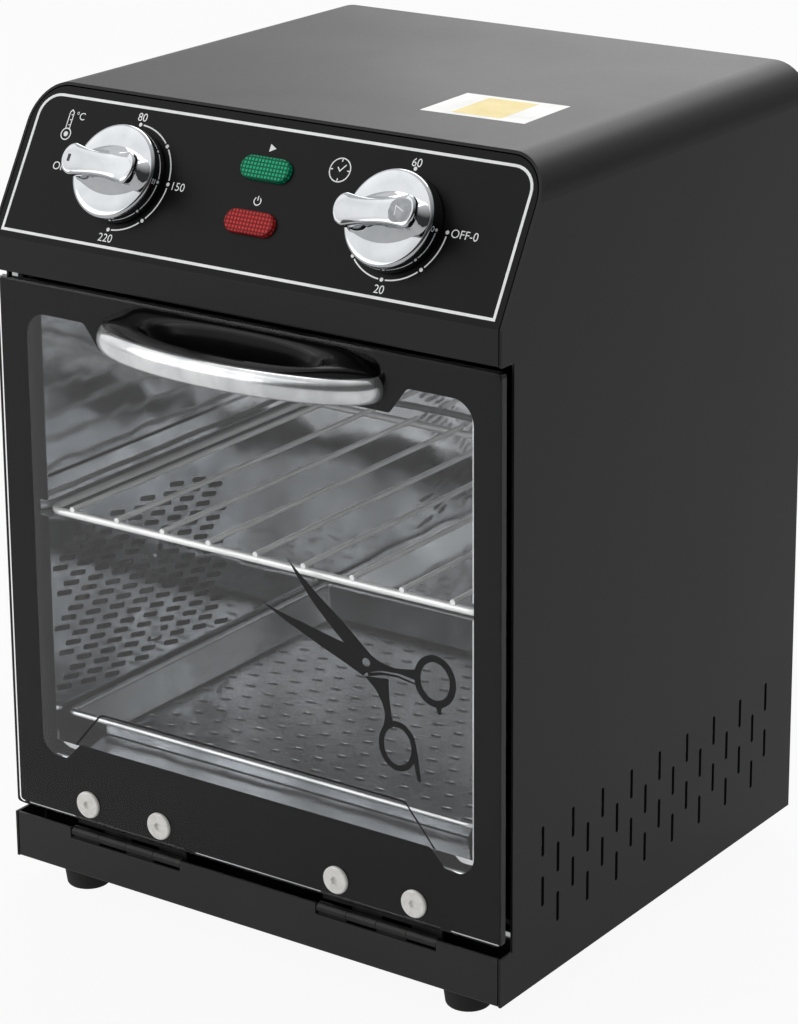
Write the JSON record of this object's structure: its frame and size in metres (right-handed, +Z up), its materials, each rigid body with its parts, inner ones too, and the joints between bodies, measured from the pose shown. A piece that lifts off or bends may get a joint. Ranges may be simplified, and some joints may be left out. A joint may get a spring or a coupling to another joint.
{
  "type": "dry heat sterilizer",
  "caption": "Compact bench oven with a drop-down glass door, chrome bow handle, sloped control panel with two knobs and two lamps, wire shelf and tray in a bright steel chamber",
  "frame": {"origin": "centre of the footprint box, on the plane that the feet stand on", "axes": "+X to the right as seen from the front, +Y from the door to the back, +Z up"},
  "size_m": [0.23, 0.2428, 0.32],
  "materials": {
    "body_paint": "fine satin powder coat, charcoal black",
    "panel_paint": "satin black with a printed pale scale",
    "liner_steel": "bright stainless sheet",
    "shield_steel": "aluminised sheet",
    "wire_steel": "bright plated wire",
    "zinc_steel": "zinc plated",
    "screw_steel": "satin nickel plated",
    "knob_chrome": "bright chrome plate",
    "handle_chrome": "chrome plate, slightly satin",
    "handle_black": "gloss black moulding",
    "door_glass": "clear toughened glass, black print on the back",
    "lens_green": "clear green, prismatic inside",
    "lens_red": "clear red, prismatic inside",
    "rubber_black": "black rubber",
    "ceramic": "glazed ceramic",
    "heater_sheath": "dark oxidised sheath",
    "copper": "plain copper",
    "control_plastic": "black moulded resin",
    "bell_steel": "nickel plated",
    "magnet_ferrite": "ground ferrite"
  },
  "bodies": {
    "cabinet": {"outer_cover": "body_paint", "base_pan": "body_paint", "rear_panel": "body_paint", "front_fascia": "panel_paint", "rear_screws": "zinc_steel", "front_frame": "liner_steel", "chamber_right_wall": "liner_steel", "chamber_left_wall": "liner_steel", "chamber_back_wall": "liner_steel", "chamber_floor": "liner_steel", "chamber_ceiling": "liner_steel", "heat_deflector": "shield_steel", "heat_shield_left": "shield_steel", "heat_shield_right": "shield_steel", "heater_left": "heater_sheath", "heater_right": "heater_sheath", "heater_bushes": "ceramic", "heater_terminals": "zinc_steel", "heater_saddles": "liner_steel", "thermal_cutout": "zinc_steel", "door_magnet": "magnet_ferrite", "hinge_left_base_leaf": "zinc_steel", "hinge_right_base_leaf": "zinc_steel", "hinge_pins": "zinc_steel", "thermostat_body": "control_plastic", "thermostat_bulb": "copper", "thermostat_tube": "copper", "timer_body": "control_plastic", "timer_bell": "bell_steel", "run_lamp_lens": "lens_green", "run_lamp_body": "control_plastic", "power_lamp_lens": "lens_red", "power_lamp_body": "control_plastic", "foot_front_left": "rubber_black", "foot_rear_left": "rubber_black", "foot_front_right": "rubber_black", "foot_rear_right": "rubber_black", "foot_screws": "zinc_steel", "foot_nuts": "zinc_steel", "cord_gland": "control_plastic", "gland_nut": "control_plastic", "terminal_block": "ceramic"},
    "door": {"door_glass": "door_glass", "handle_bar": "handle_chrome", "handle_base": "handle_black", "handle_screws": "zinc_steel", "strike_plate": "zinc_steel", "hinge_left_door_leaf": "zinc_steel", "hinge_right_door_leaf": "zinc_steel", "hinge_screws": "screw_steel", "hinge_nuts": "zinc_steel"},
    "temperature_control": {"temperature_knob": "knob_chrome", "thermostat_shaft": "zinc_steel"},
    "timer_control": {"timer_knob": "knob_chrome", "timer_shaft": "zinc_steel"},
    "rack": {"wire_rack": "wire_steel"},
    "tray": {"tray": "liner_steel"}
  },
  "joints": [
    {"name": "door_hinge", "type": "hinge", "parent": "cabinet", "child": "door", "pos_m": [0, -0.0967, 0.028], "axis": [1, 0, 0], "range_deg": [0, 90]},
    {"name": "temperature_turn", "type": "hinge", "parent": "cabinet", "child": "temperature_control", "pos_m": [-0.0618, -0.08375, 0.29181], "axis": [0, 0.866, -0.5], "range_deg": [0, 270]},
    {"name": "timer_turn", "type": "hinge", "parent": "cabinet", "child": "timer_control", "pos_m": [0.0618, -0.08375, 0.29181], "axis": [0, 0.866, -0.5], "range_deg": [0, 270]},
    {"name": "rack_slide", "type": "slide", "parent": "cabinet", "child": "rack", "axis": [0, -1, 0], "range_m": [0, 0.12]},
    {"name": "tray_slide", "type": "slide", "parent": "cabinet", "child": "tray", "axis": [0, -1, 0], "range_m": [0, 0.07]}
  ],
  "couplings": [
    {"joint": "rack_slide", "follows": "door_hinge", "m_per_rad": 0.0763},
    {"joint": "tray_slide", "follows": "door_hinge", "m_per_rad": 0.0445}
  ]
}
